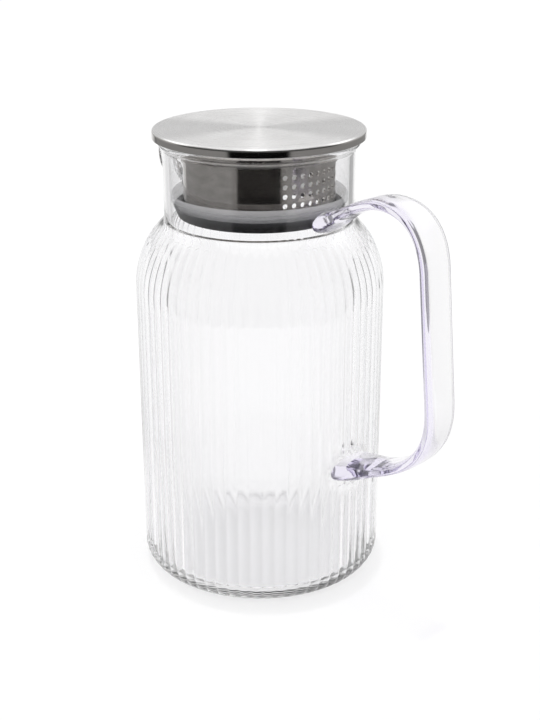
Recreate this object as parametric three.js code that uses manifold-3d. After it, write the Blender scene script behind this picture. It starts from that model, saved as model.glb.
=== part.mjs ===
// Clear reeded water carafe with a steel strainer lid.
// Millimetres, +Z up. The origin is the centre of the flat underside.
// The handle is along +X and the spout along -X.
import * as THREE from 'three';
import { mergeVertices } from 'three/addons/utils/BufferGeometryUtils.js';
import Module from 'manifold-3d';

const wasm = await Module();
wasm.setup();

// Gap kept between two pieces that touch or are bonded.
const clearance = 0.3;

// Lower vessel: a reeded tumbler with a smooth inside.
const bodyRadius = 57.5;
const bodyWall = 3.2;
const baseThickness = 4.5;
const baseFillet = 8;
const cavityFillet = 6;
const seamHeight = 139.5;
const reedCount = 64;
const reedDepth = 0.5;
const reedFacets = 3;

// Shoulder and neck: the upper moulding, bonded to the tumbler at the seam.
const shoulderRadius = 41;
const neckRadius = 44;
const neckWall = 2.8;
const rimHeight = 207.4;
const beadStandOut = 2;
const beadHeight = 3.6;
const beadUnderside = -60;
const reedFadeLength = 6;
const boreFootRise = 0.9;

// Spout: a rounded scoop that swells out of the neck under the rim.
const spoutReach = 12;
const spoutHalfWidth = 19.3;
const spoutDepth = 22;
const spoutWall = 2.6;
const spoutSink = 2.4;
const spoutSquareness = 4;

// Handle: one bent strap that widens and thickens into a foot at each end.
// A lead is how far a bend keeps the direction that it starts or ends with.
const strapWidth = 18;
const strapThickness = 5;
const archRun = 32;
const archRise = 12.1;
const gripTopDrop = 24.7;
const gripTopGap = 42.8;
const gripLean = 5.5;
const gripBottomRise = 45.5;
const upperFootAbove = 8.4;
const lowerFootHeight = 62.5;
const upperFootLead = 10.7;
const upperFootClimb = 4;
const archLead = 10.7;
const upperBendLead = 15;
const lowerBendLead = 28.2;
const lowerFootLead = 28.7;
const lowerFootClimb = 7.7;
const upperFootWidth = 24;
const upperFootThickness = 9.6;
const upperFootFlare = 14;
const lowerFootWidth = 24.8;
const lowerFootThickness = 11;
const lowerFootFlare = 30;
const strapSquareness = 4;
const footSquareness = 2.3;

// Pad on the tumbler where the reeds stop for the lower foot.
const padHalfWidth = 14;
const padHalfHeight = 11.5;
const padStandOut = 0.5;

// Lid: a spun steel cap, a plate that closes it and a perforated drum welded to the plate.
const capOverhang = 2;
const capHeight = 3.8;
const capSheet = 0.8;
const capEdge = 1.2;
const plateSheet = 0.8;
const plateRecess = 0.3;
const pourGap = 6.7;
const drumLength = 32.7;
const drumSheet = 0.7;
const drumFlange = 1.2;
const holeRadius = 1.15;
const holeSides = 6;
const holePitch = 4.15;
const holeRows = 4;
const lowestRowRise = 8.65;
const perforatedTurn = 180;
const perforatedStart = -27.2;

// Seal: a soft ring round the foot of the drum, with a lip that flares to the neck.
const sealHeight = 10.8;
const sealFloor = 1.8;
const sealFootHeight = 5;
const sealCollarThickness = 1.2;
const sealCollarHeight = 6.4;
const sealChannelFloor = 0.6;
const sealLipThickness = 1.1;

// Facets: round pieces, profile arcs, the pad's oval, the scoop, and the strap's section and length.
const ringSegments = 60;
const arcSteps = 4;
const ovalSteps = 9;
const scoopSides = 20;
const scoopRings = 12;
const strapSides = 16;
const strapSteps = 38;

// Distance and share of a turn below which two values count as one.
const sameLength = 1e-4;
const sameTurn = 1e-6;

const clearPlastic = { color: 0xeeeef3, roughness: 0.05, metalness: 0, transparent: true, opacity: 0.3 };
const tintedPlastic = { color: 0xdcd6ec, roughness: 0.05, metalness: 0, transparent: true, opacity: 0.45 };
const brushedSteel = { color: 0xc4c2be, roughness: 0.32, metalness: 1 };
const drumSteel = { color: 0x9a948d, roughness: 0.25, metalness: 1 };
const silicone = { color: 0x77787d, roughness: 0.55, metalness: 0 };

// A closed geometry as a solid. Corners are merged, and triangles that shrank to a line are dropped.
function toSolid(geometry) {
  const bare = new THREE.BufferGeometry();
  bare.setAttribute('position', geometry.getAttribute('position'));
  bare.setIndex(geometry.getIndex());
  const merged = mergeVertices(bare, sameLength);
  const corners = merged.getIndex().array;
  const triangles = [];
  for (let i = 0; i < corners.length; i += 3) {
    const [a, b, c] = [corners[i], corners[i + 1], corners[i + 2]];
    if (a !== b && b !== c && c !== a) triangles.push(a, b, c);
  }
  return new wasm.Manifold(new wasm.Mesh({
    numProp: 3,
    vertProperties: new Float32Array(merged.getAttribute('position').array),
    triVerts: new Uint32Array(triangles),
  }));
}

function toGeometry(solid) {
  const mesh = solid.getMesh();
  const geometry = new THREE.BufferGeometry();
  geometry.setAttribute('position', new THREE.BufferAttribute(new Float32Array(mesh.vertProperties), 3));
  geometry.setIndex(new THREE.BufferAttribute(new Uint32Array(mesh.triVerts), 1));
  geometry.computeVertexNormals();
  return geometry;
}

// A profile of [radius, height] points turned about the Z axis.
function revolve(profile, segments = ringSegments) {
  const points = profile.map(([radius, height]) => new THREE.Vector2(radius, height));
  return new THREE.LatheGeometry(points, segments).rotateX(Math.PI / 2);
}

// Points of a circular arc in a profile, both ends included, angles in degrees.
function arc(centreRadius, centreHeight, radius, from, to, steps = arcSteps) {
  return Array.from({ length: steps + 1 }, (_, i) => {
    const angle = THREE.MathUtils.degToRad(from + ((to - from) * i) / steps);
    return [centreRadius + radius * Math.cos(angle), centreHeight + radius * Math.sin(angle)];
  });
}

// A full cylinder whose flats, not only its corners, reach the radius.
function roundBar(radius, bottom, top) {
  const outer = radius / Math.cos(Math.PI / ringSegments);
  return toSolid(revolve([[0, bottom], [outer, bottom], [outer, top], [0, top]]));
}

// Height at which the shoulder's arc comes in to a radius.
function shoulderHeightAt(radius) {
  const run = radius - (bodyRadius - shoulderRadius);
  return seamHeight + Math.sqrt(shoulderRadius ** 2 - run ** 2);
}

// Angle, in degrees, at which an arc that starts upright at the seam reaches a height.
function climbAngle(height, radius) {
  return THREE.MathUtils.radToDeg(Math.asin((height - seamHeight) / radius));
}

const neckJoint = shoulderHeightAt(neckRadius);
const neckBore = neckRadius - neckWall;
const cavityRadius = bodyRadius - bodyWall;
const padFace = bodyRadius + padStandOut;

// Presses convex reeds into a turned geometry: full depth below the fade, none above it.
function pressReeds(geometry, fadeTop) {
  const position = geometry.getAttribute('position');
  for (let i = 0; i < position.count; i += 1) {
    const [x, y, z] = [position.getX(i), position.getY(i), position.getZ(i)];
    const radius = Math.hypot(x, y);
    if (radius < reedDepth) continue;
    const turns = (Math.atan2(y, x) / (2 * Math.PI)) * reedCount + reedCount;
    const across = Math.abs(2 * (turns - Math.floor(turns + sameTurn)) - 1);
    const fade = THREE.MathUtils.smoothstep(fadeTop - z, 0, reedFadeLength);
    const scale = (radius - reedDepth * fade * across ** 2) / radius;
    position.setXYZ(i, x * scale, y * scale, z);
  }
  return geometry;
}

function makeLowerVessel() {
  const outside = pressReeds(revolve([
    [0, 0],
    ...arc(bodyRadius - baseFillet, baseFillet, baseFillet, -90, 0),
    [bodyRadius, seamHeight - clearance],
    [0, seamHeight - clearance],
  ], reedCount * reedFacets), seamHeight + shoulderRadius);
  const cavity = revolve([
    [0, baseThickness],
    ...arc(cavityRadius - cavityFillet, baseThickness + cavityFillet, cavityFillet, -90, 0),
    [cavityRadius, seamHeight + clearance],
    [0, seamHeight + clearance],
  ]);
  return toSolid(outside).add(makePad()).subtract(toSolid(cavity));
}

// The pad is an oval bar along +X, trimmed to its stand-out by a round bar.
function makePad() {
  const oval = new THREE.Shape();
  oval.absellipse(0, 0, padHalfHeight, padHalfWidth, 0, 2 * Math.PI);
  const settings = { depth: 2 * padFace, curveSegments: ovalSteps, bevelEnabled: false };
  const bar = new THREE.ExtrudeGeometry(oval, settings).rotateY(Math.PI / 2);
  return toSolid(bar.translate(0, 0, lowerFootHeight))
    .intersect(roundBar(padFace, 0, seamHeight));
}

// The spout's scoop: a ball squared off at its top and bottom, then stretched, thinned all round by an inset.
function spoutScoop(inset) {
  const ball = new THREE.SphereGeometry(1, scoopSides, scoopRings).rotateX(Math.PI / 2);
  const position = ball.getAttribute('position');
  for (let i = 0; i < position.count; i += 1) {
    const [x, y, z] = [position.getX(i), position.getY(i), position.getZ(i)];
    const reach = Math.hypot(x, y);
    const widen = reach < sameLength ? 0 : reach ** (2 / spoutSquareness - 1);
    position.setXYZ(i, x * widen, y * widen, Math.sign(z) * Math.abs(z) ** (2 / spoutSquareness));
  }
  return ball
    .scale(spoutReach - inset, spoutHalfWidth - inset, spoutDepth - inset)
    .translate(-neckRadius, 0, rimHeight - spoutSink);
}

function makeShoulderNeck() {
  const shoulderAngle = climbAngle(neckJoint, shoulderRadius);
  const shoulder = pressReeds(revolve([
    [0, seamHeight],
    ...arc(bodyRadius - shoulderRadius, seamHeight, shoulderRadius, 0, shoulderAngle),
    [0, neckJoint],
  ], reedCount * reedFacets), neckJoint);
  const beadCentre = rimHeight - beadHeight / 2;
  const neck = revolve([
    [0, seamHeight],
    [neckBore, seamHeight],
    [neckRadius, neckJoint],
    [neckRadius, rimHeight - beadHeight - beadStandOut],
    ...arc(neckRadius + beadStandOut - beadHeight / 2, beadCentre, beadHeight / 2, beadUnderside, 90),
    [0, rimHeight],
  ]);
  // The cavity's arc starts upright at the seam and meets the bore a little above the outer corner.
  const boreFoot = neckJoint + boreFootRise;
  const drawIn = cavityRadius - neckBore;
  const cavityArc = (drawIn ** 2 + (boreFoot - seamHeight) ** 2) / (2 * drawIn);
  const cavity = revolve([
    [0, seamHeight - clearance],
    [cavityRadius, seamHeight - clearance],
    ...arc(cavityRadius - cavityArc, seamHeight, cavityArc, 0, climbAngle(boreFoot, cavityArc)),
    [neckBore, rimHeight + clearance],
    [0, rimHeight + clearance],
  ]);
  const belowRim = roundBar(2 * bodyRadius, 0, rimHeight);
  const scoop = toSolid(spoutScoop(0)).intersect(belowRim);
  return toSolid(shoulder).add(toSolid(neck)).add(scoop)
    .subtract(toSolid(cavity)).subtract(toSolid(spoutScoop(spoutWall)));
}

const upperFootHeight = neckJoint + upperFootAbove;
const archHeight = upperFootHeight + archRise;

// The strap's centre line in the XZ plane: up and over from the neck, down the grip and back to the tumbler.
function handlePath() {
  const at = (reach, height) => new THREE.Vector3(reach, 0, height);
  const arch = at(neckRadius + archRun, archHeight);
  const gripTop = at(bodyRadius + gripTopGap, archHeight - gripTopDrop);
  const gripBottom = at(bodyRadius + gripTopGap + gripLean, lowerFootHeight + gripBottomRise);
  const down = gripBottom.clone().sub(gripTop).normalize();
  const path = new THREE.CurvePath();
  path.add(new THREE.CubicBezierCurve3(
    at(neckBore, upperFootHeight - neckWall),
    at(neckRadius + upperFootLead, upperFootHeight + upperFootClimb),
    at(arch.x - archLead, archHeight),
    arch,
  ));
  path.add(new THREE.CubicBezierCurve3(
    arch,
    at(arch.x + upperBendLead, archHeight),
    gripTop.clone().addScaledVector(down, -upperBendLead),
    gripTop,
  ));
  path.add(new THREE.LineCurve3(gripTop, gripBottom));
  path.add(new THREE.CubicBezierCurve3(
    gripBottom,
    gripBottom.clone().addScaledVector(down, lowerBendLead),
    at(padFace + lowerFootLead, lowerFootHeight + lowerFootClimb),
    at(cavityRadius, lowerFootHeight),
  ));
  return path;
}

// One ring of the strap's section, between an oval (squareness 2) and a rounded rectangle (4 and up).
function strapRing(centre, across, width, thickness, squareness) {
  return Array.from({ length: strapSides }, (_, i) => {
    const angle = ((i + 0.5) / strapSides) * 2 * Math.PI;
    const bulge = (value) => Math.sign(value) * Math.abs(value) ** (2 / squareness);
    const point = centre.clone().addScaledVector(across, (thickness / 2) * bulge(Math.sin(angle)));
    point.y += (width / 2) * bulge(Math.cos(angle));
    return point;
  });
}

// Joins rings of points, in order, into a closed tube with flat ends.
function loft(rings) {
  const sides = rings[0].length;
  const points = rings.flat();
  const triangles = [];
  for (let ring = 0; ring < rings.length - 1; ring += 1) {
    for (let i = 0; i < sides; i += 1) {
      const [a, b] = [ring * sides + i, ring * sides + ((i + 1) % sides)];
      triangles.push(a, b, b + sides, a, b + sides, a + sides);
    }
  }
  const last = (rings.length - 1) * sides;
  for (let i = 1; i < sides - 1; i += 1) {
    triangles.push(0, i + 1, i, last, last + i, last + i + 1);
  }
  return new THREE.BufferGeometry().setFromPoints(points).setIndex(triangles);
}

function makeHandle() {
  const path = handlePath();
  const gripMiddle = (upperFootHeight + lowerFootHeight) / 2;
  const rings = Array.from({ length: strapSteps + 1 }, (_, i) => {
    const centre = path.getPointAt(i / strapSteps);
    const along = path.getTangentAt(i / strapSteps);
    const upper = centre.z > gripMiddle;
    const away = centre.x - (upper ? neckRadius : padFace);
    const foot = (1 - THREE.MathUtils.smoothstep(away, 0, upper ? upperFootFlare : lowerFootFlare)) ** 2;
    return strapRing(
      centre,
      new THREE.Vector3(-along.z, 0, along.x),
      THREE.MathUtils.lerp(strapWidth, upper ? upperFootWidth : lowerFootWidth, foot),
      THREE.MathUtils.lerp(strapThickness, upper ? upperFootThickness : lowerFootThickness, foot),
      THREE.MathUtils.lerp(strapSquareness, footSquareness, foot),
    );
  });
  return toSolid(loft(rings))
    .subtract(roundBar(neckRadius + clearance, neckJoint - shoulderRadius, rimHeight))
    .subtract(roundBar(padFace + clearance, 0, seamHeight));
}

const capBottom = rimHeight + clearance;
const capTop = capBottom + capHeight;
const capRadius = neckRadius + beadStandOut + capOverhang;
const capBore = capRadius - capSheet;
const plateBottom = capBottom + plateRecess;
const drumTop = plateBottom - clearance;
const drumBottom = drumTop - drumLength;
const drumRadius = neckBore - pourGap;

function makeCap() {
  return revolve([
    [0, capTop - capSheet],
    [capBore, capTop - capSheet],
    [capBore, capBottom],
    [capRadius, capBottom],
    ...arc(capRadius - capEdge, capTop - capEdge, capEdge, 0, 90),
    [0, capTop],
  ]);
}

function makePlate() {
  const radius = capBore - clearance;
  return revolve([
    [0, plateBottom],
    [radius, plateBottom],
    [radius, plateBottom + plateSheet],
    [0, plateBottom + plateSheet],
  ]);
}

// The drum is a rolled tube with one flat facet for each column of holes that its girth allows.
function makeDrum() {
  const bore = drumRadius - drumSheet;
  const columnsAround = Math.floor((2 * Math.PI * drumRadius) / holePitch);
  const columnTurn = (2 * Math.PI) / columnsAround;
  const startTurn = THREE.MathUtils.degToRad(perforatedStart);
  const holeColumns = Math.round(THREE.MathUtils.degToRad(perforatedTurn) / columnTurn);
  const punchLength = 2 * (drumSheet + holeRadius);
  let drum = toSolid(revolve([
    [bore, drumTop],
    [bore, drumBottom],
    [drumRadius + drumFlange, drumBottom],
    [drumRadius + drumFlange, drumBottom + drumSheet],
    [drumRadius, drumBottom + drumSheet],
    [drumRadius, drumTop],
    [bore, drumTop],
  ], columnsAround).rotateZ(startTurn + Math.PI / 2 + columnTurn / 2));
  for (let column = 0; column < holeColumns; column += 1) {
    for (let row = 0; row < holeRows; row += 1) {
      const punch = new THREE.CylinderGeometry(holeRadius, holeRadius, punchLength, holeSides)
        .rotateZ(Math.PI / 2)
        .translate(drumRadius, 0, drumBottom + lowestRowRise + row * holePitch)
        .rotateZ(startTurn + column * columnTurn);
      drum = drum.subtract(toSolid(punch));
    }
  }
  return drum;
}

// The seal's floor carries the drum, its collar grips the flange and its lip stands off round a channel.
function makeSeal() {
  const bottom = drumBottom - clearance - sealFloor;
  const top = bottom + sealHeight;
  const inner = drumRadius - drumSheet;
  const bore = drumRadius + clearance;
  const grooveRadius = bore + drumFlange;
  const grooveTop = drumBottom + drumSheet + clearance;
  const collarRadius = grooveRadius + sealCollarThickness;
  const collarTop = bottom + sealCollarHeight;
  const lipRadius = neckBore - clearance;
  return revolve([
    [inner, bottom],
    [collarRadius, bottom],
    [lipRadius, top - sealLipThickness],
    [lipRadius, top],
    [lipRadius - sealLipThickness, top],
    [collarRadius + sealChannelFloor, bottom + sealFootHeight],
    [collarRadius, bottom + sealFootHeight],
    [collarRadius, collarTop],
    [bore, collarTop],
    [bore, grooveTop],
    [grooveRadius, grooveTop],
    [grooveRadius, bottom + sealFloor],
    [inner, bottom + sealFloor],
    [inner, bottom],
  ]);
}

const carafe = new THREE.Group();

function addPiece(name, geometry, finish) {
  const piece = new THREE.Mesh(geometry, new THREE.MeshStandardMaterial(finish));
  piece.name = name;
  carafe.add(piece);
}

addPiece('lower_vessel', toGeometry(makeLowerVessel()), clearPlastic);
addPiece('shoulder_neck', toGeometry(makeShoulderNeck()), clearPlastic);
addPiece('handle', toGeometry(makeHandle()), tintedPlastic);
addPiece('lid_cap', makeCap(), brushedSteel);
addPiece('lid_backing_plate', makePlate(), brushedSteel);
addPiece('strainer_drum', toGeometry(makeDrum()), drumSteel);
addPiece('seal_ring', makeSeal(), silicone);

export default carafe;
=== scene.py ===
# Looks of a clear reeded carafe with a steel strainer lid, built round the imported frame.
# The scene is in metres with +Z up. Lengths in the dictionaries are in mm, angles in degrees.
# The handle is along +X and the spout along -X.
import math
import bpy
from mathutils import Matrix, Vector, geometry


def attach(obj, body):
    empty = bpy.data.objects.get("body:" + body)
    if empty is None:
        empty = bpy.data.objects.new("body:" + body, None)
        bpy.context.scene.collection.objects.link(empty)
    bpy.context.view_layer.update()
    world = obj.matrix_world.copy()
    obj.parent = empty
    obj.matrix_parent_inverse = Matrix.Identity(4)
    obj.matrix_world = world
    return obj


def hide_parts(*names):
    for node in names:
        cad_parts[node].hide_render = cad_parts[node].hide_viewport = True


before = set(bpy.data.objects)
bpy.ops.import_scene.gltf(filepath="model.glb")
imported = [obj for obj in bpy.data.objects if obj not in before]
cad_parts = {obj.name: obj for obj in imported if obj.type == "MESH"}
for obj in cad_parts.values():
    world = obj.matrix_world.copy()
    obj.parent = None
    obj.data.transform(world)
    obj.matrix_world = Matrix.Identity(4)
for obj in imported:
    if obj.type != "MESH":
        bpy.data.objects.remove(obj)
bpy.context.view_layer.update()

mm = 0.001
mergeGap = 0.003 * mm
print("frame loaded:", ", ".join(sorted(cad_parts)))


# Modelling helpers

def deselectAll():
    bpy.ops.object.select_all(action="DESELECT")


def pickOnly(piece):
    deselectAll()
    piece.select_set(True)
    bpy.context.view_layer.objects.active = piece


def editAll():
    bpy.ops.object.mode_set(mode="EDIT")
    bpy.ops.mesh.select_all(action="SELECT")


def objectMode():
    bpy.ops.object.mode_set(mode="OBJECT")


def roundArc(centreR, centreZ, radius, start, end, steps):
    angles = [math.radians(start + (end - start) * i / steps) for i in range(steps + 1)]
    return [(centreR + radius * math.cos(a), centreZ + radius * math.sin(a)) for a in angles]


def between(first, last, steps):
    # evenly spaced points after the first, up to the last
    rStep, zStep = (last[0] - first[0]) / steps, (last[1] - first[1]) / steps
    return [(first[0] + rStep * i, first[1] + zStep * i) for i in range(1, steps + 1)]


def drawProfile(name, profile):
    # a plane shrunk to one point and extruded along the profile
    deselectAll()
    bpy.ops.mesh.primitive_plane_add(size=mm)
    piece = bpy.context.object
    piece.name = piece.data.name = name
    editAll()
    bpy.ops.mesh.merge(type="CENTER")
    bpy.ops.transform.translate(value=(profile[0][0] * mm, 0, profile[0][1] * mm))
    for (r0, z0), (r1, z1) in zip(profile, profile[1:]):
        step = ((r1 - r0) * mm, 0, (z1 - z0) * mm)
        bpy.ops.mesh.extrude_region_move(TRANSFORM_OT_translate={"value": step})
    return piece


def spinAll(steps, angle, copies=False):
    bpy.ops.mesh.select_all(action="SELECT")
    bpy.ops.mesh.spin(steps=steps, angle=angle, center=(0, 0, 0), axis=(0, 0, 1), dupli=copies)
    bpy.ops.mesh.select_all(action="SELECT")
    bpy.ops.mesh.remove_doubles(threshold=mergeGap)


def turnProfile(name, profile, steps):
    piece = drawProfile(name, profile)
    spinAll(steps, 2 * math.pi)
    bpy.ops.mesh.normals_make_consistent(inside=False)
    objectMode()
    return piece


def turnReeds(name, profile, isOutside, depthAt):
    # one reed is spun and pressed, then copied all the way round
    pitch = 2 * math.pi / vessel["reeds"]
    piece = drawProfile(name, profile)
    spinAll(vessel["reedFacets"], pitch)
    objectMode()
    for vertex in piece.data.vertices:
        x, y, z = (value / mm for value in vertex.co)
        reach = math.hypot(x, y)
        if reach < vessel["axisGap"] or not isOutside(reach, z):
            continue
        across = 2 * abs(math.atan2(y, x)) / pitch - 1
        moved = 1 - depthAt(reach, z) * across ** 2 / reach
        vertex.co.x *= moved
        vertex.co.y *= moved
    editAll()
    spinAll(vessel["reeds"], 2 * math.pi, True)
    bpy.ops.mesh.normals_make_consistent(inside=False)
    objectMode()
    return piece


def cutAway(piece, cutter):
    pickOnly(piece)
    modifier = piece.modifiers.new("Cut", "BOOLEAN")
    modifier.operation = "DIFFERENCE"
    modifier.solver = "EXACT"
    modifier.object = cutter
    bpy.ops.object.modifier_apply(modifier=modifier.name)
    bpy.data.objects.remove(cutter)


def smoothPiece(piece, angle):
    pickOnly(piece)
    bpy.ops.object.shade_smooth_by_angle(angle=math.radians(angle))


def finishPiece(piece, body, nodes, material):
    piece.data.materials.clear()
    piece.data.materials.append(material)
    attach(piece, body)
    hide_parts(*nodes)
    print("made", piece.name, "with", len(piece.data.polygons), "faces")


def addFinish(piece, material, isPart):
    # a second finish on the faces that the test picks
    piece.data.materials.append(material)
    for face in piece.data.polygons:
        if isPart(face):
            face.material_index = 1


def blendStep(value, low, high):
    share = min(1, max(0, (value - low) / (high - low)))
    return share * share * (3 - 2 * share)


# Shader helpers: addNode returns the new node, and the other add functions return what it puts out

def newMaterial(name):
    material = bpy.data.materials.new(name)
    material.use_nodes = True
    return material, material.node_tree.nodes


def newGroup(name, inputNames, outputNames):
    group = bpy.data.node_groups.new(name, "ShaderNodeTree")
    for inOut, names in (("INPUT", inputNames), ("OUTPUT", outputNames)):
        for key in names:
            group.interface.new_socket(key, in_out=inOut, socket_type="NodeSocketFloat")
    given = group.nodes.new("NodeGroupInput").outputs
    put = group.nodes.new("NodeGroupOutput").inputs
    return group, given, put


def feed(socket, value):
    # another node's socket is linked, and anything else is set as a constant
    if isinstance(value, bpy.types.NodeSocket):
        socket.id_data.links.new(value, socket)
    else:
        socket.default_value = value


def feedAll(node, *values):
    for socket, value in zip(node.inputs, values):
        feed(socket, value)
    return node.outputs[0]


def addNode(nodes, kind, **values):
    node = nodes.new(kind)
    for key, value in values.items():
        if hasattr(node, key):
            setattr(node, key, value)
        else:
            feed(node.inputs[key.replace("_", " ")], value)
    return node


def addGroup(nodes, group, values):
    node = nodes.new("ShaderNodeGroup")
    node.node_tree = group
    for key, value in values.items():
        feed(node.inputs[key], value)
    return node.outputs


def addMath(nodes, operation, *values, clamp=False):
    return feedAll(addNode(nodes, "ShaderNodeMath", operation=operation, use_clamp=clamp), *values)


def addRange(nodes, value, span=(0, 1), levels=(0, 1), smooth=True):
    # carries the span of a value over to the levels, with soft ends where smooth
    kind = "SMOOTHSTEP" if smooth else "LINEAR"
    node = addNode(nodes, "ShaderNodeMapRange", interpolation_type=kind, Value=value)
    for key, end in zip(("From Min", "From Max", "To Min", "To Max"), (*span, *levels)):
        feed(node.inputs[key], end)
    return node.outputs["Result"]


def addSplit(nodes, vector):
    return addNode(nodes, "ShaderNodeSeparateXYZ", Vector=vector).outputs


def addVector(nodes, *parts):
    return feedAll(nodes.new("ShaderNodeCombineXYZ"), *parts)


def addLength(nodes, vector):
    node = addNode(nodes, "ShaderNodeVectorMath", operation="LENGTH", Vector=vector)
    return node.outputs["Value"]


def addPlace(nodes, kind="Object"):
    return nodes.new("ShaderNodeTexCoord").outputs[kind]


def addTurned(nodes, kind, turn):
    # coordinates turned back about the upright axis
    turned = addNode(nodes, "ShaderNodeMapping", vector_type="POINT", Rotation=(0, 0, -turn))
    feed(turned.inputs["Vector"], addPlace(nodes, kind))
    return turned.outputs[0]


def addNoise(nodes, place, scale, detail, roughness=0.5):
    node = addNode(nodes, "ShaderNodeTexNoise", Detail=detail, Roughness=roughness)
    feed(node.inputs["Vector"], place)
    feed(node.inputs["Scale"], scale)
    return node.outputs["Fac"]


def addBump(nodes, height, strength, depth):
    node = addNode(nodes, "ShaderNodeBump", Strength=strength, Distance=depth * mm, Height=height)
    return node.outputs["Normal"]


def addShades(nodes, value, places, colours):
    # a ramp of colours, with their places in rising order
    node = addNode(nodes, "ShaderNodeValToRGB", Fac=value)
    stops = node.color_ramp.elements
    stops[0].position, stops[1].position = places[0], places[-1]
    for place in places[1:-1]:
        stops.new(place)
    for stop, colour in zip(stops, colours):
        stop.color = (*colour, 1)
    return node.outputs["Color"]


def addClear(nodes, colour=(1, 1, 1)):
    return addNode(nodes, "ShaderNodeBsdfTransparent", Color=(*colour, 1)).outputs[0]


def addMix(nodes, share, first, second):
    return feedAll(nodes.new("ShaderNodeMixShader"), share, first, second)


# Moulded plastic: soft waves left by the mould and a few fine scuffs

plastic = {
    "ior": 1.5,
    "waveDetail": 1.5,
    "waveDepth": 0.4,
    "roughness": 0,
    "scuffs": 0.01,
    "scuffScale": 900,
    "scuffDetail": 3,
    "scuffSpan": (0.62, 0.8),
    "throughShade": (0.99, 0.99, 0.992),
    "graze": 0.35,
}

# mirror is the tint of what the plastic reflects, inside and out,
# and edgeShade is what a lamp keeps where it grazes a wall
plasticLooks = {
    "clearPlastic": {
        "colour": (0.984, 0.983, 0.988),
        "mirror": (1, 1, 1),
        "waveScale": 30,
        "bump": 0.002,
        "edgeShade": 0.35,
    },
    "tintedPlastic": {
        "colour": (0.99, 0.988, 0.995),
        "mirror": (0.24, 0.14, 0.58),
        "waveScale": 50,
        "bump": 0.004,
        "edgeShade": 0.9,
        "absorb": (0.5, 0.38, 0.8),
        "density": 10,
    },
}


def makeMouldGroup():
    inputNames = ("Wave Scale", "Scuff Scale", "Roughness", "Scuffs")
    group, given, put = newGroup("mouldSurface", inputNames, ("Roughness", "Height"))
    nodes = group.nodes
    place = addPlace(nodes)
    scuff = addNoise(nodes, place, given["Scuff Scale"], plastic["scuffDetail"])
    picked = addRange(nodes, scuff, plastic["scuffSpan"])
    scuffed = addMath(nodes, "MULTIPLY", picked, given["Scuffs"])
    feed(put["Roughness"], addMath(nodes, "ADD", scuffed, given["Roughness"]))
    feed(put["Height"], addNoise(nodes, place, given["Wave Scale"], plastic["waveDetail"]))
    return group


mouldGroup = makeMouldGroup()


def plasticMaterial(name, look):
    material, nodes = newMaterial(name)
    shader = nodes["Principled BSDF"]
    sockets = shader.inputs
    sockets["Base Color"].default_value = (*look["colour"], 1)
    sockets["Transmission Weight"].default_value = 1
    sockets["IOR"].default_value = plastic["ior"]
    sockets["Specular Tint"].default_value = (*look["mirror"], 1)
    surface = addGroup(nodes, mouldGroup, {
        "Wave Scale": look["waveScale"],
        "Scuff Scale": plastic["scuffScale"],
        "Roughness": plastic["roughness"],
        "Scuffs": plastic["scuffs"],
    })
    feed(sockets["Roughness"], surface["Roughness"])
    feed(sockets["Normal"], addBump(nodes, surface["Height"], look["bump"], plastic["waveDepth"]))
    # lamps shine through, less where they graze a wall
    graze = addNode(nodes, "ShaderNodeLayerWeight", Blend=plastic["graze"])
    through = addClear(nodes, plastic["throughShade"])
    edge = addClear(nodes, [look["edgeShade"]] * 3)
    shade = addMix(nodes, graze.outputs["Facing"], through, edge)
    path = nodes.new("ShaderNodeLightPath").outputs
    shown = addMix(nodes, path["Is Shadow Ray"], shader.outputs[0], shade)
    put = nodes["Material Output"].inputs
    feed(put["Surface"], shown)
    if "absorb" in look:
        tint = (*look["absorb"], 1)
        inside = addNode(nodes, "ShaderNodeVolumeAbsorption", Density=look["density"], Color=tint)
        feed(put["Volume"], inside.outputs["Volume"])
    return material


plastics = {name: plasticMaterial(name, look) for name, look in plasticLooks.items()}
print("plastics ready:", ", ".join(plastics))


# Brushed steel: fine lines round the axis, over a cloudy stain

brush = {
    "lineDetail": 4,
    "stainDetail": 5,
    "stainRoughness": 0.6,
    "lineShare": 0.6,
    "stainShare": 0.4,
    "span": (0.3, 0.7),
    "depth": 0.05,
    "grainTurn": 0.25,
}

# colours and rough are bounds, and lines scale the brush marks round, up and outwards
steelLooks = {
    "spunSteel": {
        "colours": ((0.8, 0.79, 0.785), (0.93, 0.925, 0.92)),
        "rough": (0.24, 0.34),
        "lines": (2, 300, 9000),
        "anisotropy": 0.9,
        "bump": 0.2,
        "stainScale": 50,
    },
    # painted shade: a darker copy of the spun steel for the cap's upright rim
    "shadedRimSteel": {
        "colours": ((0.5, 0.48, 0.46), (0.62, 0.6, 0.58)),
        "rough": (0.08, 0.14),
        "lines": (3, 5000, 0),
        "anisotropy": 0.5,
        "bump": 0.2,
        "stainScale": 60,
    },
    "drumSteel": {
        "colours": ((0.42, 0.4, 0.375), (0.6, 0.575, 0.55)),
        "rough": (0.06, 0.12),
        "lines": (6, 300, 0),
        "anisotropy": 0,
        "bump": 0.02,
        "stainScale": 160,
    },
    # painted light: a paler copy of the drum's steel for the inside of the drum below its lit height,
    # standing in for light from below
    "paintedLitInsideSteel": {
        "colours": ((0.8, 0.79, 0.78), (0.92, 0.91, 0.9)),
        "rough": (0.35, 0.45),
        "lines": (6, 300, 0),
        "anisotropy": 0,
        "bump": 0.03,
        "stainScale": 160,
    },
}


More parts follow.
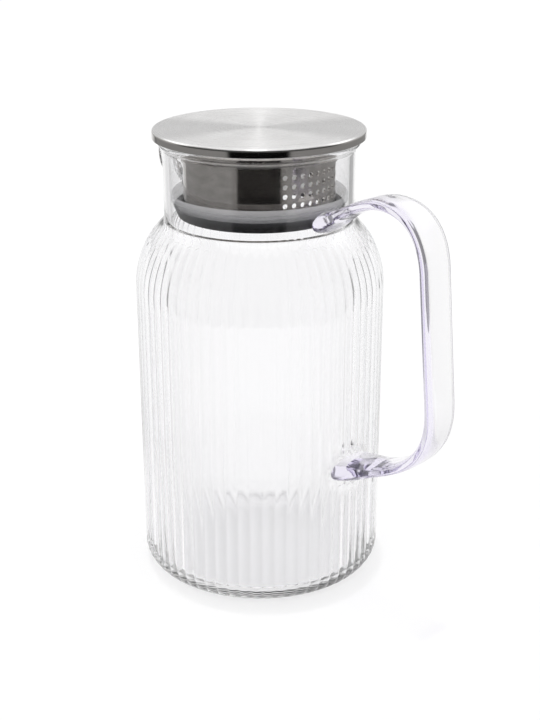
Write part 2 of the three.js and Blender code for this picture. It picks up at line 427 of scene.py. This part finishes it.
def makeBrushGroup():
    inputNames = ("Round Scale", "Rise Scale", "Spread Scale", "Stain Scale")
    group, given, put = newGroup("brushedLines", inputNames, ("Lines", "Stain"))
    nodes = group.nodes
    place = addPlace(nodes)
    x, y, z = addSplit(nodes, place)
    turn = addMath(nodes, "ARCTAN2", y, x)
    reach = addLength(nodes, addVector(nodes, x, y))
    scaled = [
        addMath(nodes, "MULTIPLY", source, given[key])
        for source, key in zip((turn, z, reach), inputNames)
    ]
    feed(put["Lines"], addNoise(nodes, addVector(nodes, *scaled), 1, brush["lineDetail"]))
    stain = addNoise(nodes, place, given["Stain Scale"], brush["stainDetail"], brush["stainRoughness"])
    feed(put["Stain"], stain)
    return group


brushGroup = makeBrushGroup()


def steelMaterial(name, look):
    material, nodes = newMaterial(name)
    sockets = nodes["Principled BSDF"].inputs
    sockets["Metallic"].default_value = 1
    sockets["Anisotropic"].default_value = look["anisotropy"]
    around, rise, spread = look["lines"]
    marks = addGroup(nodes, brushGroup, {
        "Round Scale": around,
        "Rise Scale": rise,
        "Spread Scale": spread,
        "Stain Scale": look["stainScale"],
    })
    lines = marks["Lines"]
    stain = addMath(nodes, "MULTIPLY", marks["Stain"], brush["stainShare"])
    mixed = addMath(nodes, "MULTIPLY_ADD", lines, brush["lineShare"], stain)
    feed(sockets["Base Color"], addShades(nodes, mixed, brush["span"], look["colours"]))
    feed(sockets["Roughness"], addRange(nodes, lines, brush["span"], look["rough"], False))
    feed(sockets["Normal"], addBump(nodes, lines, look["bump"], brush["depth"]))
    if look["anisotropy"]:
        tangent = addNode(nodes, "ShaderNodeTangent", direction_type="RADIAL", axis="Z")
        feed(sockets["Tangent"], tangent.outputs["Tangent"])
        sockets["Anisotropic Rotation"].default_value = brush["grainTurn"]
    return material


steels = {name: steelMaterial(name, look) for name, look in steelLooks.items()}
print("steels ready:", ", ".join(steels))


# Silicone: grey, with painted shade that darkens it towards the foot and painted light at the lip's
# top, and a cloudy bloom

silicone = {
    "stops": (0.24, 0.5, 0.97),  # heights of the foot's, the wall's and the lip's colours
    # body and lip colours run dark at the foot to pale at the top: painted shade lower down, painted
    # light at the top
    "body": ((0.002, 0.002, 0.003), (0.03, 0.03, 0.033), (0.16, 0.16, 0.17)),
    "lip": ((0.2, 0.2, 0.21), (0.4, 0.4, 0.41), (0.75, 0.75, 0.76)),
    "lipAlpha": 0.34,
    "rough": (0.34, 0.54),
    "sheen": 0.25,
    "bloomScale": 180,
    "bloomDetail": 4,
    "bump": 0.15,
    "bumpDepth": 0.1,
}


def siliconeMaterial(name, colours, alpha, low, high):
    material, nodes = newMaterial(name)
    sockets = nodes["Principled BSDF"].inputs
    sockets["Alpha"].default_value = alpha
    sockets["Specular IOR Level"].default_value = silicone["sheen"]
    place = addPlace(nodes)
    # the colour follows height: painted shade, darker towards the foot
    rise = addRange(nodes, addSplit(nodes, place)["Z"], (low * mm, high * mm), smooth=False)
    bloom = addNoise(nodes, place, silicone["bloomScale"], silicone["bloomDetail"])
    feed(sockets["Base Color"], addShades(nodes, rise, silicone["stops"], colours))
    feed(sockets["Roughness"], addRange(nodes, bloom, levels=silicone["rough"], smooth=False))
    feed(sockets["Normal"], addBump(nodes, bloom, silicone["bump"], silicone["bumpDepth"]))
    return material


# Vessel: reeded body, shoulder and smooth neck with a rolled rim and a spout

vessel = {
    "radius": 57.48,
    "wall": 3.2,
    "floor": 4.5,
    "outerFillet": 8,
    "innerFillet": 6,
    "footRing": 6,
    "shoulderStart": 139.5,
    "shoulderArc": 41,
    "boreFoot": 170.8,
    "reeds": 64,
    "reedFacets": 8,
    "reedDepth": 0.9,
    "reedRoot": (50, 55.5),
    "reedFade": (161, 168.5),
    "skinMargin": 0.4,
    "axisGap": 1,
    "padCentre": 62.5,
    "padHalf": (14, 11.5),
    "padBlend": (0.7, 1.1),
    "padMargin": 2,
    "padRaise": 0.4,
    "smoothAngle": 70,
    "edgeGap": 0.01,
}

vesselFacets = {
    "outerFillet": 10,
    "wallBelowPad": 2,
    "pad": 26,
    "wallAbovePad": 3,
    "shoulder": 36,
    "corner": 4,
    "neckFoot": 2,
    "spout": 14,
    "bead": 9,
    "spoutBore": 18,
    "boreFoot": 2,
    "innerShoulder": 30,
    "innerWall": 3,
    "innerFillet": 8,
}

neck = {
    "radius": 43.5,
    "wall": 2.8,
    "rim": 207.4,
    "cornerFillet": 1.2,
    "beadOut": 2,
    "beadHigh": 3.6,
    "beadArc": (-60, 80),
    "beadGap": 0.5,
    "lipRound": 0.8,
    "spoutReach": 12,
    "spoutHalfWidth": 19.3,
    "spoutDepth": 22,
    "spoutWall": 2.6,
    "spoutSink": 2.4,
    "spoutSquareness": 4,
    "spoutBead": 0.9,
    "spoutBeadFade": 4,
}

boreRadius = neck["radius"] - neck["wall"]
spoutLow = neck["rim"] - neck["spoutSink"] - neck["spoutDepth"]


def vesselProfile():
    # from the middle of the base up the outside, then down the inside
    v, n, f = vessel, neck, vesselFacets
    radius, arc, start = v["radius"], v["shoulderArc"], v["shoulderStart"]
    inner, centre = radius - v["wall"], radius - arc
    padReach = v["padHalf"][1] + v["padMargin"]
    padLow, padHigh = v["padCentre"] - padReach, v["padCentre"] + padReach
    # the corner's fillet touches the shoulder's arc from outside and the neck's wall
    filletR = n["radius"] + n["cornerFillet"]
    filletZ = start + math.sqrt((arc + n["cornerFillet"]) ** 2 - (filletR - centre) ** 2)
    touch = math.degrees(math.atan2(filletZ - start, filletR - centre))
    # the inner arc starts upright at the shoulder and meets the bore at its foot
    rise = v["boreFoot"] - start
    innerArc = ((inner - boreRadius) ** 2 + rise ** 2) / (2 * (inner - boreRadius))
    boreTouch = math.degrees(math.asin(rise / innerArc))
    beadR = n["beadHigh"] / 2
    beadZ = n["rim"] - beadR
    lowBead = beadZ - beadR - n["beadGap"]
    lipZ = n["rim"] - n["lipRound"]
    outer, hollow = v["outerFillet"], v["innerFillet"]
    hollowZ = v["floor"] + hollow
    points = [(0, 0), (radius - outer - v["footRing"], 0)]
    points += roundArc(radius - outer, outer, outer, -90, 0, f["outerFillet"])
    points += between((radius, outer), (radius, padLow), f["wallBelowPad"])
    points += between((radius, padLow), (radius, padHigh), f["pad"])
    points += between((radius, padHigh), (radius, start), f["wallAbovePad"])
    points += roundArc(centre, start, arc, 0, touch, f["shoulder"])[1:]
    points += roundArc(filletR, filletZ, n["cornerFillet"], touch - 180, -180, f["corner"])[1:]
    points += between((n["radius"], filletZ), (n["radius"], spoutLow), f["neckFoot"])
    points += between((n["radius"], spoutLow), (n["radius"], lowBead), f["spout"])
    points += roundArc(n["radius"] + n["beadOut"] - beadR, beadZ, beadR, *n["beadArc"], f["bead"])
    points += [(boreRadius + n["lipRound"], n["rim"]), (boreRadius, lipZ)]
    points += between((boreRadius, lipZ), (boreRadius, spoutLow), f["spoutBore"])
    points += between((boreRadius, spoutLow), (boreRadius, v["boreFoot"]), f["boreFoot"])
    points += roundArc(inner - innerArc, start, innerArc, boreTouch, 0, f["innerShoulder"])[1:]
    points += between((inner, start), (inner, hollowZ), f["innerWall"])
    points += roundArc(inner - hollow, hollowZ, hollow, 0, -90, f["innerFillet"])[1:]
    return points + [(0, v["floor"])]


def scoopReach(turn, z, inset):
    # how far the spout's squared ellipsoid reaches from the axis, or 0 where the direction misses it
    long, wide, deep = (neck[k] - inset for k in ("spoutReach", "spoutHalfWidth", "spoutDepth"))
    power = neck["spoutSquareness"]
    level = max(0, 1 - abs((z - neck["rim"] + neck["spoutSink"]) / deep) ** power) ** (2 / power)
    along, aside = -math.cos(turn), math.sin(turn)
    if level <= 0 or along <= 0:
        return 0
    a = (along / long) ** 2 + (aside / wide) ** 2
    b = -2 * along * neck["radius"] / long ** 2
    c = (neck["radius"] / long) ** 2 - level
    inside = b * b - 4 * a * c
    return 0 if inside <= 0 else (-b + math.sqrt(inside)) / (2 * a)


def makeVessel():
    v, n = vessel, neck
    start, centre = v["shoulderStart"], v["radius"] - v["shoulderArc"]
    midWall = v["radius"] - v["wall"] / 2
    midNeck = n["radius"] - n["wall"] / 2
    midArc = v["shoulderArc"] - v["skinMargin"]

    def isOutside(reach, z):
        if z > start:
            return reach > midNeck and math.hypot(reach - centre, z - start) > midArc
        return z < v["floor"] / 2 or reach > midWall

    def depthAt(reach, z):
        if z > start:
            return v["reedDepth"] * (1 - blendStep(z, *v["reedFade"]))
        return v["reedDepth"] * blendStep(reach, *v["reedRoot"])

    piece = turnReeds("vessel", vesselProfile(), isOutside, depthAt)
    for vertex in piece.data.vertices:
        x, y, z = (value / mm for value in vertex.co)
        reach, turn = math.hypot(x, y), math.atan2(y, x)
        moved = reach
        if x > 0 and z < start and reach > midWall:
            # a smooth oval pad takes the place of the reeds under the handle's lower foot
            side = turn * v["radius"] / v["padHalf"][0]
            rise = (z - v["padCentre"]) / v["padHalf"][1]
            pad = 1 - blendStep(math.hypot(side, rise), *v["padBlend"])
            moved += (v["radius"] + v["padRaise"] - reach) * pad
        elif x < 0 and z > spoutLow:
            # the spout swells both skins of the neck outwards and thins the bead
            outside = reach > midNeck
            wall = n["radius"] if outside else boreRadius
            swell = max(0, scoopReach(turn, z, 0 if outside else n["spoutWall"]) - wall)
            fade = min(1, swell / n["spoutBeadFade"]) if outside else 0
            thin = (1 - n["spoutBead"] / n["beadOut"]) * fade
            moved = wall + (reach - wall) * (1 - thin) + swell
        if moved != reach:
            vertex.co.x *= moved / reach
            vertex.co.y *= moved / reach
    smoothPiece(piece, v["smoothAngle"])
    # the foot of the bore stays a crisp edge
    for edge in piece.data.edges:
        ends = [piece.data.vertices[index].co / mm for index in edge.vertices]
        level = all(abs(end.z - v["boreFoot"]) < v["edgeGap"] for end in ends)
        if level and all(end.xy.length < midNeck for end in ends):
            edge.use_edge_sharp = True
    nodes = ("lower_vessel", "shoulder_neck")
    finishPiece(piece, "jug", nodes, plastics["clearPlastic"])


makeVessel()


# Handle: one bent strap that swells into a foot at each end

strap = {
    "width": 18,
    "thickness": 4.96,
    "squareness": 3.4,
    "sides": 64,
    "steps": 40,
    # width, thickness and flare of each foot
    "upperFoot": (21.6, 9, 14),
    "lowerFoot": (24.8, 11, 30),
    "footSquareness": 2.2,
    "footGap": 0.12,
    "cutterSides": 360,
    "smoothAngle": 35,
    # knots of the centre line as (reach, height), each with its two handles
    "knots": (
        ((41.2, 175.5), (41.2, 175.5), (54.7, 182.3)),
        ((76, 190.4), (65.3, 190.4), (91, 190.4)),
        ((100.3, 165.7), (98.9, 180.6), (101, 158)),
        ((105.8, 108), (105.1, 115), (108.4, 79.9)),
        ((54.3, 62.5), (86.7, 70.2), (54.3, 62.5)),
    ),
}


def strapLine():
    points = []
    for (start, _, lead), (end, arrive, _) in zip(strap["knots"], strap["knots"][1:]):
        corners = [Vector((p[0], 0, p[1])) for p in (start, lead, arrive, end)]
        points += geometry.interpolate_bezier(*corners, strap["steps"] + 1)[: -1]
    return points + [corners[3]]


def makeHandle():
    s = strap
    line = strapLine()
    sides, rings = s["sides"], len(line)
    deselectAll()
    bpy.ops.mesh.primitive_grid_add(x_subdivisions=sides, y_subdivisions=rings - 1, size=mm)
    piece = bpy.context.object
    piece.name = piece.data.name = "strapHandle"
    middle = (line[0].z + line[-1].z) / 2
    for index, vertex in enumerate(piece.data.vertices):
        ring, side = divmod(index, sides + 1)
        spot = line[ring]
        along = (line[min(ring + 1, rings - 1)] - line[max(ring - 1, 0)]).normalized()
        upper = spot.z > middle
        wall = neck["radius"] if upper else vessel["radius"]
        footWide, footThick, flare = s["upperFoot"] if upper else s["lowerFoot"]
        foot = (1 - blendStep(spot.x - wall, 0, flare)) ** 2
        wide = s["width"] + (footWide - s["width"]) * foot
        thick = s["thickness"] + (footThick - s["thickness"]) * foot
        power = 2 / (s["squareness"] + (s["footSquareness"] - s["squareness"]) * foot)
        angle = 2 * math.pi * side / sides
        c, d = math.cos(angle), math.sin(angle)
        out = thick / 2 * math.copysign(abs(d) ** power, d)
        aside = wide / 2 * math.copysign(abs(c) ** power, c)
        vertex.co = Vector((spot.x - along.z * out, aside, spot.z + along.x * out)) * mm
    editAll()
    bpy.ops.mesh.remove_doubles(threshold=mergeGap)
    bpy.ops.mesh.select_all(action="DESELECT")
    bpy.ops.mesh.select_non_manifold()
    bpy.ops.mesh.edge_face_add()
    bpy.ops.mesh.select_all(action="SELECT")
    bpy.ops.mesh.normals_make_consistent(inside=False)
    objectMode()
    # each foot is hollowed to the wall it is bonded to
    for radius, low, high in (
        (neck["radius"] + s["footGap"], middle, neck["rim"]),
        (vessel["radius"] + vessel["padRaise"] + s["footGap"], 0, middle),
    ):
        deselectAll()
        bpy.ops.mesh.primitive_cylinder_add(
            vertices=s["cutterSides"],
            radius=radius * mm,
            depth=(high - low) * mm,
            location=(0, 0, (low + high) / 2 * mm),
        )
        cutAway(piece, bpy.context.object)
    smoothPiece(piece, s["smoothAngle"])
    finishPiece(piece, "jug", ("handle",), plastics["tintedPlastic"])


makeHandle()


# Lid: a spun cap with a turned-down rim, the plate that closes it and the punched drum

lid = {
    "radius": 48,
    "bottom": 207.7,
    "top": 211.5,
    "sheet": 0.8,
    "edge": 1.2,
    "edgeFacets": 8,
    "innerCorner": 0.6,
    "hem": 0.15,
    "topRings": 12,
    "rimSlope": 0.5,
    "turns": 240,
    "smoothAngle": 30,
    "plate": (46.9, 208.0, 208.8),  # radius, underside and top
    "plateEdge": 0.2,
}


def makeCap():
    radius, bottom, top, edge, hem = (lid[k] for k in ("radius", "bottom", "top", "edge", "hem"))
    inside, under, corner = radius - lid["sheet"], top - lid["sheet"], lid["innerCorner"]
    profile = [(0, under), (inside - corner, under), (inside, under - corner)]
    profile += [(inside, bottom + hem), (inside + hem, bottom)]
    profile += [(radius - hem, bottom), (radius, bottom + hem)]
    profile += roundArc(radius - edge, top - edge, edge, 0, 90, lid["edgeFacets"])
    profile += between((radius - edge, top), (0, top), lid["topRings"])
    piece = turnProfile("lidCap", profile, lid["turns"])
    smoothPiece(piece, lid["smoothAngle"])
    finishPiece(piece, "lid", ("lid_cap",), steels["spunSteel"])
    # the upright rim faces take the darker steel, painted shade on the same spun sheet
    addFinish(piece, steels["shadedRimSteel"], lambda face: abs(face.normal.z) < lid["rimSlope"])


def makePlate():
    radius, bottom, top = lid["plate"]
    edge = lid["plateEdge"]
    profile = [(0, bottom), (radius - edge, bottom), (radius, bottom + edge)]
    profile += [(radius, top - edge), (radius - edge, top), (0, top)]
    piece = turnProfile("lidPlate", profile, lid["turns"])
    smoothPiece(piece, lid["smoothAngle"])
    finishPiece(piece, "lid", ("lid_backing_plate",), steels["spunSteel"])


drum = {
    "radius": 34.5,
    "sheet": 0.7,
    "bottom": 175,
    # height below which the drum's inside is painted lighter, as if lit from below
    "paintedLitHeight": 182.5,
    "top": 207.7,
    "flange": 1.2,
    "turns": 260,
    "holeRadius": 1.15,
    "holeSides": 20,
    "punchLength": 4,
    "pitch": 4.15,
    "rows": 4,
    "lowestRow": 183.65,
    "columnsAround": 52,
    "columns": 26,
    "firstTurn": -27.2,
    "smoothAngle": 30,
}


def makeDrum():
    d = drum
    radius, bottom, top = d["radius"], d["bottom"], d["top"]
    bore, foot, ledge = radius - d["sheet"], radius + d["flange"], bottom + d["sheet"]
    profile = [(bore, top), (bore, d["paintedLitHeight"]), (bore, bottom), (foot, bottom)]
    profile += [(foot, ledge), (radius, ledge), (radius, top), (bore, top)]
    piece = turnProfile("strainerDrum", profile, d["turns"])
    deselectAll()
    punches = []
    for column in range(d["columns"]):
        turn = math.radians(d["firstTurn"] + column * 360 / d["columnsAround"])
        for row in range(d["rows"]):
            height = d["lowestRow"] + row * d["pitch"]
            bpy.ops.mesh.primitive_cylinder_add(
                vertices=d["holeSides"],
                radius=d["holeRadius"] * mm,
                depth=d["punchLength"] * mm,
                location=(radius * math.cos(turn) * mm, radius * math.sin(turn) * mm, height * mm),
                rotation=(0, math.pi / 2, turn),
            )
            punches.append(bpy.context.object)
    deselectAll()
    for punch in punches:
        punch.select_set(True)
    bpy.context.view_layer.objects.active = punches[0]
    bpy.ops.object.join()
    cutAway(piece, bpy.context.object)
    smoothPiece(piece, d["smoothAngle"])
    finishPiece(piece, "lid", ("strainer_drum",), steels["drumSteel"])

    # painted light: inward faces low in the drum take the pale steel, as if lit from below
    def isPaintedLit(face):
        inwards = face.normal.x * face.center.x + face.normal.y * face.center.y < 0
        return inwards and face.center.z < d["paintedLitHeight"] * mm

    addFinish(piece, steels["paintedLitInsideSteel"], isPaintedLit)


# Seal: a grooved ring that holds the drum's flange, with a thin flared lip

seal = {
    "inner": 33.8,
    "bottom": 172.9,
    "top": 183.7,
    "floor": 1.8,
    "collar": (34.8, 36, 37.2),  # radii of its bore, the groove and its outside
    "collarTop": 179.3,
    "grooveTop": 176,
    "bevel": 0.3,
    "footRound": 0.8,
    "footArc": (-70, -20),
    "footFacets": 4,
    "flareStart": (0.3, 1.4),  # out from the collar and up from the bottom
    "flareRings": 6,
    "channel": (37.8, 177.9),
    "channelCorner": (0.1, 0.2),
    "channelRings": 4,
    "lip": (40.3, 1.1),  # radius and thickness
    "lipFall": (2.2, 1.4),  # where its outer and inner sides end below the top
    "lipFacets": 8,
    "turns": 240,
    "smoothAngle": 35,
}


def makeSeal():
    s = seal
    inner, bottom, top, bevel = s["inner"], s["bottom"], s["top"], s["bevel"]
    bore, groove, collar = s["collar"]
    footR, collarTop, ledge = s["footRound"], s["collarTop"], bottom + s["floor"]
    lipR, lipThick = s["lip"]
    tip = lipThick / 2
    outFall, inFall = s["lipFall"]
    flare = (collar + s["flareStart"][0], bottom + s["flareStart"][1])
    dip = (collar + s["channelCorner"][0], s["channel"][1] + s["channelCorner"][1])
    profile = [(inner, bottom + bevel), (inner + bevel, bottom), (collar - footR, bottom)]
    profile += roundArc(collar - footR, bottom + footR, footR, *s["footArc"], s["footFacets"])
    profile += between(flare, (lipR, top - outFall), s["flareRings"])
    profile += roundArc(lipR - tip, top - tip, tip, 0, 180, s["lipFacets"])
    profile += between((lipR - lipThick, top - inFall), s["channel"], s["channelRings"])
    profile += [dip, (collar, collarTop - bevel), (collar - bevel, collarTop)]
    profile += [(bore + bevel, collarTop), (bore, collarTop - bevel), (bore, s["grooveTop"])]
    profile += [(groove, s["grooveTop"]), (groove, ledge), (inner, ledge), profile[0]]
    piece = turnProfile("sealRing", profile, s["turns"])
    smoothPiece(piece, s["smoothAngle"])
    body = siliconeMaterial("shadedGreySilicone", silicone["body"], 1, bottom, top)
    lip = siliconeMaterial("shadedPaleSilicone", silicone["lip"], silicone["lipAlpha"], bottom, top)
    finishPiece(piece, "seal", ("seal_ring",), body)

    def isLip(face):
        reach, height = face.center.xy.length / mm, face.center.z / mm
        return height > s["channel"][1] and reach > s["channel"][0]

    addFinish(piece, lip, isLip)


makeCap()
makePlate()
makeDrum()
makeSeal()


# Camera: a little above the object, with the handle at the right

camera = {
    "azimuth": 44,
    "distance": 572.8,
    "height": 325.6,
    "aside": 4.61,
    "pitch": 21.514,
    "roll": -0.135,
    "lens": 64.48,
    "clipStart": 10,
}

cameraTurn = math.radians(camera["azimuth"])


def makeCamera():
    data = bpy.data.cameras.new("camera")
    data.lens = camera["lens"]
    data.clip_start = camera["clipStart"] * mm
    view = bpy.data.objects.new("camera", data)
    bpy.context.scene.collection.objects.link(view)
    away, aside = camera["distance"], camera["aside"]
    view.location = (
        (away * math.sin(cameraTurn) + aside * math.cos(cameraTurn)) * mm,
        (aside * math.sin(cameraTurn) - away * math.cos(cameraTurn)) * mm,
        camera["height"] * mm,
    )
    view.rotation_euler = (math.radians(90 - camera["pitch"]), 0, cameraTurn)
    view.rotation_euler.rotate_axis("Z", math.radians(camera["roll"]))
    bpy.context.scene.camera = view


# Stage: a white floor and sky, a lamp overhead, and a grey cloth in front that only reflections show

stage = {
    "floorSize": 8000,
    "floorDrop": 0.2,
    "floorColour": 0.97,
    "floorRoughness": 0.9,
    # how bright reflections show the floor in front, beside and behind; close by it is as behind
    "floorMirrored": (0.5, 0.05, 0.92),
    "floorFrontSpan": (-0.8, -0.4),
    "floorBackSpan": (0.7, 0.95),
    "floorNear": (90, 200),
    "floorInside": 0.25,  # share of that dimming inside the plastic
    "clothReach": 440,
    "clothSpan": (150, 134),  # to the right and to the left
    "clothHeights": (1, 200),
    "clothFacets": 64,
    "cloth": 0.33,
    "dark": 0.003,
    "darkSpan": (28.5, 33),
    "lampTilt": (3.4, 20),  # lean and turn
    "lampSpread": 1.2,
    "lampPower": 0.3,
    "lampHeight": 1000,
    "skyLight": 0.97,
    # what reflections show, by the right, back and up shares of their direction:
    # straight off a surface the wall behind, and inside the plastic the left side of the room
    "wallSpan": (0.42, 0.55),
    "wallLevels": (0.62, 1.6),
    "upperSpan": (0.7, 0.76),
    "upperLevel": 0.88,
    "sideSpan": (-0.12, 0.05),
    "sideLevels": (0.25, 1),
    "sideRise": (0.2, 0.3),
    "sideTop": (0.65, 0.8),
    "backSpan": (-0.1, 0.3),
    "frontLevel": 0.1,
    "topSpan": (0.855, 0.875),
    "topLevel": 1,
}


def makeFloor():
    s = stage
    deselectAll()
    bpy.ops.mesh.primitive_plane_add(size=s["floorSize"] * mm, location=(0, 0, -s["floorDrop"] * mm))
    floor = bpy.context.object
    floor.name = "floor"
    material, nodes = newMaterial("whiteFloor")
    sockets = nodes["Principled BSDF"].inputs
    # mirrored once the floor shows dimmer, most of all far out beside the object
    place = addTurned(nodes, "Object", cameraTurn)
    towards = addNode(nodes, "ShaderNodeVectorMath", operation="NORMALIZE", Vector=place)
    back = addSplit(nodes, towards.outputs[0])["Y"]
    frontLevel, sideLevel, backLevel = s["floorMirrored"]
    front = addRange(nodes, back, s["floorFrontSpan"], (frontLevel, sideLevel))
    around = addRange(nodes, back, s["floorBackSpan"], (front, backLevel))
    near = [reach * mm for reach in s["floorNear"]]
    mirrored = addRange(nodes, addLength(nodes, place), near, (backLevel, around))
    path = nodes.new("ShaderNodeLightPath").outputs
    once = addMath(nodes, "COMPARE", path["Glossy Depth"], 1, 0.5)
    inside = addRange(nodes, path["Transmission Depth"], levels=(1, s["floorInside"]), smooth=False)
    share = addMath(nodes, "MULTIPLY", once, inside)
    shade = addRange(nodes, share, levels=(s["floorColour"], mirrored), smooth=False)
    feed(sockets["Base Color"], shade)
    sockets["Roughness"].default_value = s["floorRoughness"]
    sockets["Specular IOR Level"].default_value = 0
    floor.data.materials.append(material)


def makeCloth():
    # a curved cloth round the camera's side, dark in its middle
    s = stage
    right, left = (math.radians(angle) for angle in s["clothSpan"])
    towards = math.radians(camera["azimuth"] - 90)
    cloth = drawProfile("frontCloth", [(s["clothReach"], height) for height in s["clothHeights"]])
    spinAll(s["clothFacets"], right + left)
    objectMode()
    cloth.rotation_euler.z = towards + right
    pickOnly(cloth)
    bpy.ops.object.transform_apply(rotation=True)
    material, nodes = newMaterial("greyCloth")
    nodes.remove(nodes["Principled BSDF"])
    x, y, _ = addSplit(nodes, addTurned(nodes, "Object", towards))
    aside = addMath(nodes, "ABSOLUTE", addMath(nodes, "ARCTAN2", y, x))
    darkSpan = [math.radians(angle) for angle in s["darkSpan"]]
    level = addRange(nodes, aside, darkSpan, (s["dark"], s["cloth"]))
    glow = addNode(nodes, "ShaderNodeEmission", Strength=level).outputs[0]
    # it shows only in surfaces that mirror it once or twice, and lights nothing else
    path = nodes.new("ShaderNodeLightPath").outputs
    mirrored = addMath(nodes, "COMPARE", path["Glossy Depth"], 1.5, 1)
    shown = addMath(nodes, "SUBTRACT", mirrored, path["Diffuse Depth"], clamp=True)
    surface = addMix(nodes, shown, addClear(nodes), glow)
    feed(nodes["Material Output"].inputs["Surface"], surface)
    cloth.data.materials.append(material)
    material.cycles.emission_sampling = "NONE"


def makeLamp():
    # a far lamp almost straight overhead, leaning back from the camera
    data = bpy.data.lights.new("overheadLamp", "SUN")
    data.angle = math.radians(stage["lampSpread"])
    data.energy = stage["lampPower"]
    lamp = bpy.data.objects.new("overheadLamp", data)
    bpy.context.scene.collection.objects.link(lamp)
    lean, turn = (math.radians(value) for value in stage["lampTilt"])
    lamp.rotation_euler = (-lean, 0, cameraTurn + turn)
    lamp.location = (0, 0, stage["lampHeight"] * mm)


def makeWorld():
    # plain white, but reflections show a studio with a dark front
    s = stage
    world = bpy.data.worlds.new("whiteStudio")
    bpy.context.scene.world = world
    world.use_nodes = True
    world.cycles.sampling_method = "NONE"
    nodes = world.node_tree.nodes
    sky = nodes["Background"].inputs
    sky["Color"].default_value = (1, 1, 1, 1)
    right, back, up = addSplit(nodes, addTurned(nodes, "Generated", cameraTurn))
    path = nodes.new("ShaderNodeLightPath").outputs
    across = addRange(nodes, right, s["sideSpan"], s["sideLevels"])
    lowSide = addRange(nodes, up, s["sideRise"], (1, across))
    side = addRange(nodes, up, s["sideTop"], (lowSide, 1))
    lowWall = addRange(nodes, up, s["wallSpan"], s["wallLevels"])
    wall = addRange(nodes, up, s["upperSpan"], (lowWall, s["upperLevel"]))
    behind = addRange(nodes, path["Transmission Depth"], levels=(wall, side))
    around = addRange(nodes, back, s["backSpan"], (s["frontLevel"], behind))
    studio = addRange(nodes, up, s["topSpan"], (around, s["topLevel"]))
    seen = addMath(nodes, "MAXIMUM", path["Is Camera Ray"], path["Is Transmission Ray"])
    plain = addRange(nodes, seen, levels=(s["skyLight"], 1))
    # the studio shows after any mirroring, unless light was scattered on the way
    mirrored = addMath(nodes, "GREATER_THAN", path["Glossy Depth"], 0.5)
    direct = addMath(nodes, "SUBTRACT", mirrored, path["Diffuse Depth"], clamp=True)
    feed(sky["Strength"], addRange(nodes, direct, levels=(plain, studio)))


makeFloor()
makeCloth()
makeLamp()
makeWorld()
makeCamera()

lightPaths = {
    "blur_glossy": 0,
    "max_bounces": 32,
    "transmission_bounces": 32,
    "glossy_bounces": 16,
    "transparent_max_bounces": 16,
}

scene = bpy.context.scene
scene.view_settings.view_transform = "Standard"
for key, value in lightPaths.items():
    setattr(scene.cycles, key, value)
print("stage and camera ready")
